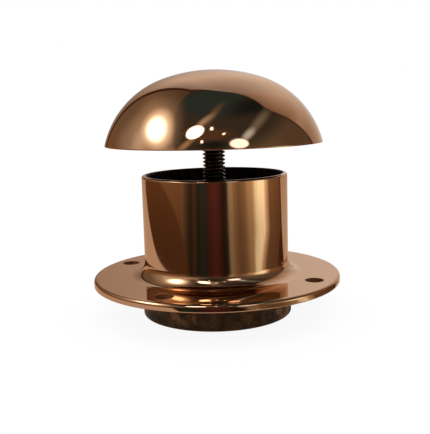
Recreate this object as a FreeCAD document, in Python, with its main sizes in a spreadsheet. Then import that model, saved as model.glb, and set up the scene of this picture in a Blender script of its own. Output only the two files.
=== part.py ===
"""Screw-down mushroom ventilator in cast bronze, for a 3 inch deck opening.

The frame: origin at the centre of the flange's underside, +Z up the spindle, +X along the bridge.
A casting (spigot, flange and collar in one) carries a bridge with a tapped hub. The cap hangs on a
threaded spindle that runs in that hub, and a knob below the bridge turns it from inside the boat.
The cap is drawn fully raised. All sizes are in millimetres.
"""
import FreeCAD, Part
import math
import os
import re
import Sketcher

SIZES = {
    # casting: spigot below the deck, flange on it, collar above it
    "bore_r": 38.0,
    "collar_wall": 3.0,
    "collar_top": 60.8,
    "collar_fillet": 8.0,
    "lip_round": 1.2,
    "flange_r": 70.0,
    "flange_thick": 4.2,
    "flange_edge_round": 2.2,
    "flange_under_round": 0.5,
    "spigot_wall": 4.5,
    "spigot_depth": 18.5,
    "spigot_round": 1.0,
    # countersunk deck screw holes
    "deck_hole_in": 11.0,
    "deck_hole_r": 2.7,
    "deck_hole_mouth_r": 5.1,
    "deck_hole_sink": 2.4,
    "deck_hole_turn": -27.2,
    # lugs inside the bore, and the bridge that is screwed up against them
    "lug_stand": 9.0,
    "lug_width": 14.0,
    "lug_height": 12.0,
    "lug_hole_in": 5.0,
    "lug_hole_extra": 1.0,
    "lug_round": 3.0,
    "bridge_end_gap": 1.2,
    "bridge_width": 14.0,
    "bridge_thick": 6.0,
    "bridge_edge_round": 1.0,
    "hub_r": 12.0,
    "hub_neck_r": 9.4,
    "hub_neck": 4.0,
    # bridge screws and their washers
    "screw_r": 2.5,
    "screw_clear": 0.25,
    "screw_tap_clear": 0.05,
    "screw_grip": 9.0,
    "screw_head_r": 4.4,
    "screw_head": 3.2,
    "screw_head_round": 0.7,
    "screw_slot": 1.2,
    "screw_slot_deep": 1.5,
    "screw_washer_r": 4.8,
    "screw_washer": 1.2,
    # spindle and its thread
    "spindle_r": 6.35,
    "thread_pitch": 2.1167,
    "thread_deep": 1.3,
    "thread_root": 0.36,
    "thread_flank": 0.5206,
    "thread_clear": 0.15,
    "thread_overcut": 0.1,
    "spindle_in_boss": 11.0,
    "spindle_fit": 0.07,
    "spindle_end_round": 0.8,
    "stub_r": 4.5,
    "stub_proud": 1.0,
    "stub_fit": 0.06,
    # cap: a dome of two arcs, with a boss and a gasket seat inside
    "cap_r": 60.7,
    "cap_rim": 77.5,
    "cap_rise": 40.7,
    "cap_wall": 3.0,
    "crown_ratio": 1.4086,
    "shoulder_ratio": 0.8402,
    "cap_rim_round": 0.6,
    "boss_r": 11.0,
    "boss_depth": 13.7,
    "boss_hole_extra": 0.5,
    "seat_wall": 2.4,
    "gasket_width": 5.0,
    "gasket_height": 5.0,
    "gasket_proud": 2.0,
    "gasket_clear": 0.2,
    # lock nut and washer under the boss
    "lock_washer_r": 10.6,
    "lock_washer": 1.5,
    "lock_nut_flats": 19.0,
    "lock_nut": 8.0,
    # stop washer, knob and what holds the knob on the stub
    "stop_gap": 0.3,
    "stop_washer_r": 10.0,
    "stop_washer": 1.5,
    "knob_r": 20.0,
    "knob_height": 13.5,
    "knob_round": 2.5,
    "knob_scallop_r": 5.0,
    "knob_scallop_deep": 2.6,
    "knob_recess_r": 8.6,
    "knob_recess": 4.6,
    "knob_washer_r": 8.2,
    "knob_washer": 1.0,
    "knob_nut_flats": 13.0,
    "knob_nut": 3.6,
    "grub_r": 2.5,
    "grub_clear": 0.05,
    "grub_length": 8.0,
    "grub_drop": 4.2,
    "grub_socket_flats": 2.5,
    "grub_socket": 2.5,
    # insect screen round the hub's neck, held down by a ring sprung into the bore
    "screen_clear": 0.3,
    "frame_width": 3.2,
    "frame_height": 2.6,
    "mesh_thick": 0.6,
    "mesh_slot": 0.8,
    "mesh_grip": 2.2,
    "mesh_end_gap": 0.2,
    "hub_ring_clear": 0.2,
    "hub_ring_width": 4.0,
    "snap_ring_in": 1.6,
    "snap_ring": 1.4,
    "snap_ring_bite": 0.9,
    "snap_ring_clear": 0.1,
    "snap_ring_gap": 10.0,
}
DECK_HOLES = 4
BRIDGE_ENDS = 2
KNOB_SCALLOPS = 8

doc = FreeCAD.newDocument("mushroom_ventilator")
sheet = doc.addObject("Spreadsheet::Sheet", "Dims")
for row, (name, size) in enumerate(SIZES.items(), start=1):
    sheet.set(f"A{row}", name)
    sheet.set(f"B{row}", str(size))
    sheet.setAlias(f"B{row}", name)
doc.recompute()

# heights and radii that several pieces share, as formulas of the sheet's names
COLLAR_R = "(bore_r + collar_wall)"
SPIGOT_R = "(bore_r + spigot_wall)"
HUB_TOP = "(bridge_thick + lug_height)"
LUG_HOLE = "(bore_r - lug_hole_in)"
CAP_TOP = "(cap_rim + cap_rise)"
CROWN_R = "(cap_r * crown_ratio)"
SHOULDER_R = "(cap_r * shoulder_ratio)"
CROWN_Z = f"({CAP_TOP} - {CROWN_R})"

# The shoulder arc's centre is where a circle of radius crown - shoulder about the crown's centre
# meets a circle of the shoulder's radius about the rim: the arcs are then tangent.
RIM_OVER_CROWN = f"(cap_rim - {CROWN_Z})"
SPAN_SQUARED = f"(cap_r^2 + {RIM_OVER_CROWN}^2)"
ARC_STEP = f"({CROWN_R} - {SHOULDER_R})"
ALONG = f"(({ARC_STEP}^2 - {SHOULDER_R}^2 + {SPAN_SQUARED}) / (2 * {SPAN_SQUARED}))"
ACROSS = f"sqrt({ARC_STEP}^2 / {SPAN_SQUARED} - {ALONG}^2)"

FULL_TURN = 360.0
LEVEL_ERROR = 1e-6
NUT_CORNER_ANGLE = 30.0
PAST_CORNERS = 1.1
HEXAGON_COS = "cos(30)"
ALONG_X = FreeCAD.Rotation(FreeCAD.Vector(0, 1, 0), 90)


def bound(formula):
    """The formula with the sheet's names written the way an expression reads them."""
    return re.sub(
        r"[a-z][a-z_]*",
        lambda word: f"Dims.{word.group()}" if word.group() in SIZES else word.group(),
        formula,
    )


def worth(formula):
    """The formula's number, from the sheet."""
    return float(sheet.evalExpression(bound(formula)))


def plane(body, role):
    """The body's own origin plane or axis of that role."""
    return next(datum for datum in body.Origin.OriginFeatures if datum.Role == role)


def new_body(label):
    """An empty body whose label names its file."""
    body = doc.addObject("PartDesign::Body", label)
    body.Label = label
    return body


def pin(sketch, curve, point, place, axes="xy"):
    """Hold a curve's point at a place, measured from the sketch's origin along the given axes."""
    for axis, kind, line, formula in zip("xy", ("DistanceX", "DistanceY"), (-2, -1), place):
        if axis not in axes:
            continue
        if formula == "0":
            sketch.addConstraint(Sketcher.Constraint("PointOnObject", curve, point, line))
            continue
        number = sketch.addConstraint(
            Sketcher.Constraint(kind, -1, 1, curve, point, worth(formula))
        )
        sketch.setExpression(f"Constraints[{number}]", bound(formula))


def steadier_axis(end, centre):
    """The axis along which a point on an arc is best held: the one where it is nearer the centre."""
    return "y" if abs(end.x - centre.x) > abs(end.y - centre.y) else "x"


def outline(body, name, *places, on="XZ_Plane", lift="0"):
    """A closed sketch through the places, each an (x, y).

    A place that ends an arc is (x, y, centre x, centre y, turn), where turn is 1 for an arc that runs
    counter-clockwise and -1 for clockwise. Every x and y is a formula.
    """
    sketch = body.newObject("Sketcher::SketchObject", name)
    sketch.AttachmentSupport = [(plane(body, on), "")]
    sketch.MapMode = "FlatFace"
    sketch.setExpression("AttachmentOffset.Base.z", bound(lift))
    here = FreeCAD.Vector(worth(places[0][0]), worth(places[0][1]), 0)
    axes = "xy"
    last = None
    for place, following in zip(places, places[1:] + places[:1]):
        there = FreeCAD.Vector(worth(following[0]), worth(following[1]), 0)
        start, end = 1, 2
        next_axes = "xy"
        if len(following) == 5:
            centre = FreeCAD.Vector(worth(following[2]), worth(following[3]), 0)
            from_here, from_there = here - centre, there - centre
            angles = [math.atan2(ray.y, ray.x) for ray in (from_here, from_there)]
            if following[4] < 0:
                start, end = 2, 1
                angles.reverse()
            circle = Part.Circle(centre, FreeCAD.Vector(0, 0, 1), from_here.Length)
            curve = sketch.addGeometry(Part.ArcOfCircle(circle, *angles))
            pin(sketch, curve, 3, following[2:4])
            next_axes = steadier_axis(there, centre)
        else:
            curve = sketch.addGeometry(Part.LineSegment(here, there))
        if last is None:
            first = (curve, start)
        else:
            sketch.addConstraint(Sketcher.Constraint("Coincident", *last, curve, start))
        pin(sketch, curve, start, place[:2], axes)
        here, axes, last = there, next_axes, (curve, end)
    sketch.addConstraint(Sketcher.Constraint("Coincident", *last, *first))
    return sketch


def spun(body, name, sketch, kind="Revolution"):
    """A full turn of the sketch about its own upright axis."""
    turn = body.newObject(f"PartDesign::{kind}", name)
    turn.Profile = sketch
    turn.ReferenceAxis = (sketch, ["V_Axis"])
    turn.Angle = FULL_TURN
    return turn


def solid(body, kind, name, at=("0", "0", "0"), tilt=None, **sizes):
    """A primitive feature at a place on the body's XY plane, tilted if asked."""
    piece = body.newObject(f"PartDesign::{kind}", name)
    piece.AttachmentSupport = [(plane(body, "XY_Plane"), "")]
    piece.MapMode = "FlatFace"
    if tilt:
        piece.AttachmentOffset = FreeCAD.Placement(FreeCAD.Vector(), tilt)
    for axis, formula in zip("xyz", at):
        piece.setExpression(f"AttachmentOffset.Base.{axis}", bound(formula))
    for size, formula in sizes.items():
        piece.setExpression(size, bound(formula))
    return piece


def padded(body, name, sketch, length):
    """The sketch raised by a length."""
    pad = body.newObject("PartDesign::Pad", name)
    pad.Profile = sketch
    pad.setExpression("Length", bound(length))
    return pad


def around(body, name, feature, count):
    """The feature repeated evenly about the body's Z axis."""
    doc.recompute()
    pattern = body.newObject("PartDesign::PolarPattern", name)
    pattern.Originals = [feature]
    pattern.Axis = (plane(body, "Z_Axis"), [""])
    pattern.Angle = FULL_TURN
    pattern.Occurrences = count
    body.Tip = pattern
    return pattern


def ring(label, inner, outer, low, high):
    """A square-cut ring between two radii and two heights."""
    body = new_body(label)
    section = outline(body, label + "_section", (inner, low), (outer, low), (outer, high), (inner, high))
    spun(body, label + "_turned", section)
    return body


def thread_cut(body, name, mouth, root, mouth_x, root_x, low, run):
    """A right-hand helical groove: its section's widths at two radii, its first height and its run."""
    section = outline(
        body,
        name + "_section",
        (mouth_x, f"({low}) - ({mouth}) / 2"),
        (root_x, f"({low}) - ({root}) / 2"),
        (root_x, f"({low}) + ({root}) / 2"),
        (mouth_x, f"({low}) + ({mouth}) / 2"),
    )
    doc.recompute()
    groove = body.newObject("PartDesign::SubtractiveHelix", name)
    groove.Profile = section
    groove.ReferenceAxis = (section, ["V_Axis"])
    groove.Mode = "pitch-height-angle"
    groove.setExpression("Pitch", bound("thread_pitch"))
    groove.setExpression("Height", bound(run))
    return groove


SHOULDER_X = f"({ALONG} * cap_r - {ACROSS} * {RIM_OVER_CROWN})"
SHOULDER_Z = f"({CROWN_Z} + {ALONG} * {RIM_OVER_CROWN} + {ACROSS} * cap_r)"
JOIN = f"({CROWN_R} / {ARC_STEP})"
INNER_JOIN = f"(({CROWN_R} - cap_wall) / {ARC_STEP})"
INNER_RIM = f"({SHOULDER_X} + sqrt(({SHOULDER_R} - cap_wall)^2 - (cap_rim - {SHOULDER_Z})^2))"


def arcs_meet(share):
    """Where crown and shoulder meet: a share of the way from the crown's centre to the shoulder's."""
    return f"{SHOULDER_X} * {share}", f"{CROWN_Z} + ({SHOULDER_Z} - {CROWN_Z}) * {share}"


def dome_height(radius, depth):
    """The shoulder's height at a radius, on the surface that lies a depth under the outside."""
    return f"({SHOULDER_Z} + sqrt(({SHOULDER_R} - {depth})^2 - ({radius} - {SHOULDER_X})^2))"


# gasket seat inside the dome, over the collar's rim
SEAT_R = "(bore_r + collar_wall / 2)"
CHANNEL_IN = f"({SEAT_R} - gasket_width / 2 - gasket_clear)"
CHANNEL_OUT = f"({SEAT_R} + gasket_width / 2 + gasket_clear)"
SEAT_IN = f"({CHANNEL_IN} - seat_wall)"
SEAT_OUT = f"({CHANNEL_OUT} + seat_wall)"
CHANNEL_FLOOR = dome_height(CHANNEL_OUT, "cap_wall")
SEAT_LOW = f"({CHANNEL_FLOOR} - gasket_height + gasket_proud - gasket_clear)"
GASKET_LOW = f"({SEAT_LOW} - gasket_proud)"
BOSS_LOW = f"({CAP_TOP} - cap_wall - boss_depth)"

# knob and spindle below the bridge, whose underside is at height 0
KNOB_TOP = "(-stop_gap - stop_washer)"
KNOB_LOW = f"({KNOB_TOP} - knob_height)"
RECESS_TOP = f"({KNOB_LOW} + knob_recess)"
STUB_HOLE = "(stub_r + stub_fit)"
SPINDLE_HOLE = "(spindle_r + spindle_fit)"

# screen round the hub's neck
FRAME_OUT = "(bore_r - screen_clear)"
FRAME_IN = f"({FRAME_OUT} - frame_width)"
FRAME_TOP = f"({HUB_TOP} + frame_height)"
MESH_MIDDLE = f"({HUB_TOP} + frame_height / 2)"
HUB_RING_IN = "(hub_neck_r + hub_ring_clear)"
HUB_RING_OUT = f"({HUB_RING_IN} + hub_ring_width)"

# The groove's section starts a pitch below the thread. The tapped hub's starts half a pitch later,
# so that the spindle's ridge runs in the hub's groove.
THREAD_START = "(-stop_gap - thread_pitch)"


def vent_body():
    """Spigot, flange and collar in one casting, with two lugs in the bore and four deck holes."""
    body = new_body("vent_body")
    spigot_edge = f"{SPIGOT_R} - spigot_round"
    spigot_low = "-spigot_depth + spigot_round"
    flange_edge = "flange_r - flange_edge_round"
    flange_low_edge = "flange_r - flange_under_round"
    flange_side_top = "flange_thick - flange_edge_round"
    fillet_foot = f"{COLLAR_R} + collar_fillet"
    fillet_top = "flange_thick + collar_fillet"
    lip_low = "collar_top - lip_round"
    groove_deep = "bore_r + snap_ring_bite + snap_ring_clear"
    groove_top = f"{FRAME_TOP} + snap_ring + 2 * snap_ring_clear"
    section = outline(
        body,
        "casting_section",
        ("bore_r", "-spigot_depth"),
        (spigot_edge, "-spigot_depth"),
        (SPIGOT_R, spigot_low, spigot_edge, spigot_low, 1),
        (SPIGOT_R, "0"),
        (flange_low_edge, "0"),
        ("flange_r", "flange_under_round", flange_low_edge, "flange_under_round", 1),
        ("flange_r", flange_side_top),
        (flange_edge, "flange_thick", flange_edge, flange_side_top, 1),
        (fillet_foot, "flange_thick"),
        (COLLAR_R, fillet_top, fillet_foot, fillet_top, -1),
        (COLLAR_R, lip_low),
        (f"{COLLAR_R} - lip_round", "collar_top", f"{COLLAR_R} - lip_round", lip_low, 1),
        ("bore_r + lip_round", "collar_top"),
        ("bore_r", lip_low, "bore_r + lip_round", lip_low, 1),
        ("bore_r", groove_top),
        (groove_deep, groove_top),
        (groove_deep, FRAME_TOP),
        ("bore_r", FRAME_TOP),
    )
    spun(body, "casting", section)

    lug_front = "bore_r - lug_stand"
    lug_corner = "bore_r - lug_stand + lug_round"
    lug_back = "bore_r + collar_wall / 2"
    lug_side = "lug_width / 2"
    lug_shoulder = "(lug_width / 2 - lug_round)"
    lug_outline = outline(
        body,
        "lug_outline",
        (lug_back, f"-{lug_side}"),
        (lug_back, lug_side),
        (lug_corner, lug_side),
        (lug_front, lug_shoulder, lug_corner, lug_shoulder, 1),
        (lug_front, f"-{lug_shoulder}"),
        (lug_corner, f"-{lug_side}", lug_corner, f"-{lug_shoulder}", 1),
        on="XY_Plane",
        lift="bridge_thick",
    )
    lug = padded(body, "lug", lug_outline, "lug_height")
    around(body, "lugs", lug, BRIDGE_ENDS)
    lug_hole = solid(
        body,
        "SubtractiveCylinder",
        "lug_hole",
        at=(LUG_HOLE, "0", "bridge_thick"),
        Radius="screw_r + screw_tap_clear",
        Height="screw_grip + lug_hole_extra",
    )
    around(body, "lug_holes", lug_hole, BRIDGE_ENDS)

    hole_x = "(flange_r - deck_hole_in) * cos(deck_hole_turn)"
    hole_y = "(flange_r - deck_hole_in) * sin(deck_hole_turn)"
    shank = solid(
        body,
        "SubtractiveCylinder",
        "deck_hole",
        at=(hole_x, hole_y, "0"),
        Radius="deck_hole_r",
        Height="flange_thick",
    )
    around(body, "deck_holes", shank, DECK_HOLES)
    sink = solid(
        body,
        "SubtractiveCone",
        "deck_hole_sink",
        at=(hole_x, hole_y, "flange_thick - deck_hole_sink"),
        Radius1="deck_hole_r",
        Radius2="deck_hole_mouth_r",
        Height="deck_hole_sink",
    )
    around(body, "deck_hole_sinks", sink, DECK_HOLES)
    return body


def rounded_edges(body, name, base, height, size):
    """Round every edge of the base feature that lies flat at a height."""
    doc.recompute()
    level = worth(height)
    edges = [
        f"Edge{number}"
        for number, edge in enumerate(base.Shape.Edges, start=1)
        if all(abs(end.Z - level) < LEVEL_ERROR for end in edge.Vertexes)
    ]
    fillet = body.newObject("PartDesign::Fillet", name)
    fillet.Base = (base, edges)
    fillet.setExpression("Radius", bound(size))
    return fillet


def bridge():
    """A bar across the bore under the lugs, with a tapped hub in its middle."""
    body = new_body("bridge")
    end = "(bore_r - bridge_end_gap - bridge_width / 2)"
    side = "bridge_width / 2"
    bar_outline = outline(
        body,
        "bar_outline",
        ("0", f"-{side}"),
        (end, f"-{side}"),
        (end, side, end, "0", 1),
        (f"-{end}", side),
        (f"-{end}", f"-{side}", f"-{end}", "0", 1),
        on="XY_Plane",
    )
    bar = padded(body, "bar", bar_outline, "bridge_thick")
    rounded_edges(body, "bar_edges", bar, "0", "bridge_edge_round")
    solid(body, "AdditiveCylinder", "hub", Radius="hub_r", Height=HUB_TOP)
    solid(body, "AdditiveCylinder", "neck", Radius="hub_neck_r", Height=f"{HUB_TOP} + hub_neck")
    hole = solid(
        body,
        "SubtractiveCylinder",
        "screw_hole",
        at=(LUG_HOLE, "0", "0"),
        Radius="screw_r + screw_clear",
        Height="bridge_thick",
    )
    around(body, "screw_holes", hole, BRIDGE_ENDS)
    solid(
        body,
        "SubtractiveCylinder",
        "tapping_bore",
        Radius="spindle_r - thread_deep + thread_clear",
        Height=f"{HUB_TOP} + hub_neck",
    )
    crest = "thread_pitch - thread_root - 2 * thread_flank"
    thread_cut(
        body,
        "hub_thread",
        mouth=f"({crest} * (thread_clear - thread_overcut) + 2 * thread_clear)",
        root=f"({crest} * (thread_deep + thread_clear) + 2 * thread_clear)",
        mouth_x="spindle_r - thread_deep + thread_clear - thread_overcut",
        root_x="spindle_r + thread_clear",
        low=f"{THREAD_START} + thread_pitch / 2",
        run=f"{HUB_TOP} + hub_neck + 2 * thread_pitch",
    )
    return body


def paired(label, body):
    """The body at the bridge's hole on +X and its mirror image on -X, as one group of two solids."""
    body.setExpression("Placement.Base.x", bound(LUG_HOLE))
    mirrored = doc.addObject("Part::Mirroring", label + "_mirrored")
    mirrored.Source = body
    mirrored.Normal = (1, 0, 0)
    group = doc.addObject("Part::Compound", label)
    group.Label = label
    group.Links = [body, mirrored]
    return group


def bridge_screws():
    """Two slotted cheese-head screws, up through the bridge into the lugs."""
    body = new_body("bridge_screw")
    head_top = "-screw_washer"
    head_low = "(-screw_washer - screw_head)"
    head_side_low = f"{head_low} + screw_head_round"
    head_edge = "screw_head_r - screw_head_round"
    section = outline(
        body,
        "screw_section",
        ("0", head_low),
        (head_edge, head_low),
        ("screw_head_r", head_side_low, head_edge, head_side_low, 1),
        ("screw_head_r", head_top),
        ("screw_r", head_top),
        ("screw_r", "bridge_thick + screw_grip"),
        ("0", "bridge_thick + screw_grip"),
    )
    spun(body, "screw_turned", section)
    solid(
        body,
        "SubtractiveBox",
        "slot",
        at=("-screw_slot / 2", "-screw_head_r", head_low),
        Length="screw_slot",
        Width="2 * screw_head_r",
        Height="screw_slot_deep",
    )
    return paired("bridge_screws", body)


def bridge_washers():
    """A washer under each screw's head."""
    washer = ring("bridge_washer", "screw_r + screw_clear", "screw_washer_r", "-screw_washer", "0")
    return paired("bridge_washers", washer)


def screen_rims():
    """The screen's outer frame and its ring round the hub's neck, both slotted for the mesh."""
    slot_low = f"{MESH_MIDDLE} - mesh_slot / 2"
    slot_top = f"{MESH_MIDDLE} + mesh_slot / 2"
    rims = []
    for label, face, back, slot_end in (
        ("screen_frame", FRAME_IN, FRAME_OUT, f"{FRAME_IN} + mesh_grip"),
        ("screen_hub_ring", HUB_RING_OUT, HUB_RING_IN, f"{HUB_RING_OUT} - mesh_grip"),
    ):
        body = new_body(label)
        section = outline(
            body,
            label + "_section",
            (back, HUB_TOP),
            (back, FRAME_TOP),
            (face, FRAME_TOP),
            (face, slot_top),
            (slot_end, slot_top),
            (slot_end, slot_low),
            (face, slot_low),
            (face, HUB_TOP),
        )
        spun(body, label + "_turned", section)
        rims.append(body)
    return rims


def insect_screen():
    """The woven mesh, as a flat ring held in the slots of its two rims."""
    return ring(
        "insect_screen",
        f"{HUB_RING_OUT} - mesh_grip + mesh_end_gap",
        f"{FRAME_IN} + mesh_grip - mesh_end_gap",
        f"{MESH_MIDDLE} - mesh_thick / 2",
        f"{MESH_MIDDLE} + mesh_thick / 2",
    )


def screen_snap_ring():
    """An open ring sprung into the bore's groove over the screen's frame."""
    body = ring(
        "screen_snap_ring",
        "bore_r - snap_ring_in",
        "bore_r + snap_ring_bite",
        f"{FRAME_TOP} + snap_ring_clear",
        f"{FRAME_TOP} + snap_ring_clear + snap_ring",
    )
    solid(
        body,
        "SubtractiveBox",
        "ring_gap",
        at=("-snap_ring_gap / 2", "0", FRAME_TOP),
        Length="snap_ring_gap",
        Width=f"2 * {COLLAR_R}",
        Height="snap_ring + 2 * snap_ring_clear",
    )
    return body


def cap():
    """The dome, hollow, with a blind boss for the spindle and a channel for the gasket."""
    body = new_body("cap")
    section = outline(
        body,
        "dome_section",
        ("cap_r", "cap_rim"),
        (*arcs_meet(JOIN), SHOULDER_X, SHOULDER_Z, 1),
        ("0", CAP_TOP, "0", CROWN_Z, 1),
        ("0", f"{CAP_TOP} - cap_wall"),
        (*arcs_meet(INNER_JOIN), "0", CROWN_Z, -1),
        (INNER_RIM, "cap_rim", SHOULDER_X, SHOULDER_Z, -1),
    )
    dome = spun(body, "dome", section)
    rounded_edges(body, "rim_edges", dome, "cap_rim", "cap_rim_round")
    solid(
        body,
        "AdditiveCylinder",
        "boss",
        at=("0", "0", BOSS_LOW),
        Radius="boss_r",
        Height="boss_depth + cap_wall / 2",
    )
    seat = outline(
        body,
        "seat_section",
        (SEAT_IN, SEAT_LOW),
        (CHANNEL_IN, SEAT_LOW),
        (CHANNEL_IN, CHANNEL_FLOOR),
        (CHANNEL_OUT, CHANNEL_FLOOR),
        (CHANNEL_OUT, SEAT_LOW),
        (SEAT_OUT, SEAT_LOW),
        (SEAT_OUT, dome_height(SEAT_OUT, "cap_wall / 2")),
        (SEAT_IN, dome_height(SEAT_IN, "cap_wall / 2")),
    )
    spun(body, "gasket_seat", seat)
    solid(
        body,
        "SubtractiveCylinder",
        "boss_hole",
        at=("0", "0", BOSS_LOW),
        Radius=SPINDLE_HOLE,
        Height="spindle_in_boss + boss_hole_extra",
    )
    return body


def cap_gasket():
    """The square-cut rubber ring that the cap presses on the collar's rim."""
    return ring(
        "cap_gasket",
        f"{SEAT_R} - gasket_width / 2",
        f"{SEAT_R} + gasket_width / 2",
        GASKET_LOW,
        f"{GASKET_LOW} + gasket_height",
    )


def spindle():
    """A rod threaded from its step to its top, with a plain stub below for the knob."""
    body = new_body("spindle")
    stub_low = f"({KNOB_LOW} - stub_proud)"
    step = "-stop_gap"
    top = f"({BOSS_LOW} + spindle_in_boss)"
    section = outline(
        body,
        "spindle_section",
        ("0", stub_low),
        ("stub_r - spindle_end_round", stub_low),
        ("stub_r", f"{stub_low} + spindle_end_round"),
        ("stub_r", step),
        ("spindle_r", step),
        ("spindle_r", f"{top} - spindle_end_round"),
        ("spindle_r - spindle_end_round", top),
        ("0", top),
    )
    spun(body, "rod", section)
    thread_cut(
        body,
        "spindle_thread",
        mouth="(thread_root + 2 * thread_flank * (thread_deep + thread_overcut))",
        root="thread_root",
        mouth_x="spindle_r + thread_overcut",
        root_x="spindle_r - thread_deep",
        low=THREAD_START,
        run=f"{top} - {THREAD_START} + thread_pitch",
    )
    return body


def hex_nut(label, bore, flats, low, height):
    """A hexagon nut with the corners of both faces turned off at a slant."""
    body = new_body(label)
    face_r = f"({flats} / 2)"
    corner_r = f"({face_r} / {HEXAGON_COS})"
    solid(
        body,
        "AdditivePrism",
        label + "_hexagon",
        at=("0", "0", low),
        Circumradius=corner_r,
        Height=height,
    )
    past = f"({corner_r} * {PAST_CORNERS})"
    slope = f"(({past} - {face_r}) * tan({NUT_CORNER_ANGLE}))"
    top = f"({low} + {height})"
    for end, level, edge in (("low", low, f"{low} + {slope}"), ("top", top, f"{top} - {slope}")):
        corner = outline(body, f"{label}_{end}_corners", (face_r, level), (past, level), (past, edge))
        spun(body, f"{label}_{end}_chamfer", corner, kind="Groove")
    solid(
        body,
        "SubtractiveCylinder",
        label + "_bore",
        at=("0", "0", low),
        Radius=bore,
        Height=height,
    )
    return body


def knob():
    """A scalloped knob, bored for the stub, with a recess below for its nut."""
    body = new_body("knob")
    edge = "knob_r - knob_round"
    low_edge = f"{KNOB_LOW} + knob_round"
    top_edge = f"{KNOB_TOP} - knob_round"
    section = outline(
        body,
        "knob_section",
        ("knob_recess_r", KNOB_LOW),
        (edge, KNOB_LOW),
        ("knob_r", low_edge, edge, low_edge, 1),
        ("knob_r", top_edge),
        (edge, KNOB_TOP, edge, top_edge, 1),
        (STUB_HOLE, KNOB_TOP),
        (STUB_HOLE, RECESS_TOP),
        ("knob_recess_r", RECESS_TOP),
    )
    spun(body, "knob_turned", section)
    scallop = solid(
        body,
        "SubtractiveCylinder",
        "scallop",
        at=("knob_r - knob_scallop_deep + knob_scallop_r", "0", KNOB_LOW),
        Radius="knob_scallop_r",
        Height="knob_height",
    )
    around(body, "scallops", scallop, KNOB_SCALLOPS)
    solid(
        body,
        "SubtractiveCylinder",
        "grub_hole",
        at=("0", "0", f"{KNOB_TOP} - grub_drop"),
        tilt=ALONG_X,
        Radius="grub_r + grub_clear",
        Height="knob_r",
    )
    return body


def knob_grub_screw():
    """A socket set screw, in from a scallop against the stub."""
    body = new_body("knob_grub_screw")
    height = f"{KNOB_TOP} - grub_drop"
    solid(
        body,
        "AdditiveCylinder",
        "grub",
        at=(STUB_HOLE, "0", height),
        tilt=ALONG_X,
        Radius="grub_r",
        Height="grub_length",
    )
    solid(
        body,
        "SubtractivePrism",
        "grub_socket_hole",
        at=(f"{STUB_HOLE} + grub_length - grub_socket", "0", height),
        tilt=ALONG_X,
        Circumradius=f"grub_socket_flats / 2 / {HEXAGON_COS}",
        Height="grub_socket",
    )
    return body


sub_parts = [
    vent_body(),
    bridge(),
    bridge_screws(),
    bridge_washers(),
    *screen_rims(),
    insect_screen(),
    screen_snap_ring(),
    cap_gasket(),
    cap(),
    spindle(),
    ring("cap_lock_washer", SPINDLE_HOLE, "lock_washer_r", f"{BOSS_LOW} - lock_washer", BOSS_LOW),
    hex_nut(
        "cap_lock_nut",
        SPINDLE_HOLE,
        "lock_nut_flats",
        f"({BOSS_LOW} - lock_washer - lock_nut)",
        "lock_nut",
    ),
    ring("stop_washer", STUB_HOLE, "stop_washer_r", KNOB_TOP, "-stop_gap"),
    knob(),
    knob_grub_screw(),
    ring("knob_washer", STUB_HOLE, "knob_washer_r", f"{RECESS_TOP} - knob_washer", RECESS_TOP),
    hex_nut(
        "knob_nut",
        STUB_HOLE,
        "knob_nut_flats",
        f"({RECESS_TOP} - knob_washer - knob_nut)",
        "knob_nut",
    ),
]
doc.recompute()

for thing in doc.Objects:
    if {"Invalid", "Error"} & set(thing.State):
        raise RuntimeError(f"{thing.Label}: {thing.State}")
for sub_part in sub_parts:
    if sub_part.Shape.isNull() or not sub_part.Shape.isValid():
        raise RuntimeError(f"{sub_part.Label} has no valid shape")

os.makedirs("parts", exist_ok=True)
for sub_part in sub_parts:
    sub_part.Shape.exportStep(f"parts/{sub_part.Label}.step")
    print(f"{sub_part.Label}: {len(sub_part.Shape.Solids)} solid(s), {sub_part.Shape.Volume:.0f} mm3")
print(f"The cap falls {worth(GASKET_LOW) - worth('collar_top'):.3f} mm until its gasket meets the collar.")
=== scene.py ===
import math

import bmesh
import bpy
import numpy as np
from mathutils import Matrix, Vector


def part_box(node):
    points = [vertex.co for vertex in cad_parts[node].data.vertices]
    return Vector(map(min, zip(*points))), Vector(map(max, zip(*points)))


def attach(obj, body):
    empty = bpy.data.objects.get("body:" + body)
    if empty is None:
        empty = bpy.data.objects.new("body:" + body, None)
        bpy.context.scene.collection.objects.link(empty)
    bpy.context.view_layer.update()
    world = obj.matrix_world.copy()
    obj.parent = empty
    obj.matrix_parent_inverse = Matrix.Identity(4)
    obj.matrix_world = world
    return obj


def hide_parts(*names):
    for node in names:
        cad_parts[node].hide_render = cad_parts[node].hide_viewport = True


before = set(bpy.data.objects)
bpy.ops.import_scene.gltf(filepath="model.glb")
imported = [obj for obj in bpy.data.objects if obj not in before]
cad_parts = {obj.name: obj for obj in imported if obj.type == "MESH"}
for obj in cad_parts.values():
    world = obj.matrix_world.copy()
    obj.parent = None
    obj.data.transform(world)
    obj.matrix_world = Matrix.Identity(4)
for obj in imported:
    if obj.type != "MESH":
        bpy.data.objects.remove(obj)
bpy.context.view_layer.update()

# The screw-down mushroom ventilator in the casting's frame: +Z up the spindle, origin at the centre
# of the flange's underside. Shapes are in millimetres until they become a mesh, materials in metres.
MM = 0.001
COLUMNS = 360
CORNER_STEPS = 6
SHARP = math.radians(38)

CASTING = "casting"
CARRIER = "gasket_carrier"
TURNING = "cap_and_spindle"


def heights(node):
    """A node's lowest and highest height and its reach along X, in millimetres."""
    low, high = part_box(node)
    return low.z / MM, high.z / MM, high.x / MM


# ------------ profiles


def bow(middle, radius, start, end, step=1.2):
    """A round stretch of a profile: middle + radius at angles evenly spaced from start to end."""
    angle = np.radians(np.linspace(start, end, round(abs(end - start) / step) + 2))
    return [(middle[0] + radius * math.cos(a), middle[1] + radius * math.sin(a), 0.0) for a in angle]


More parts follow.
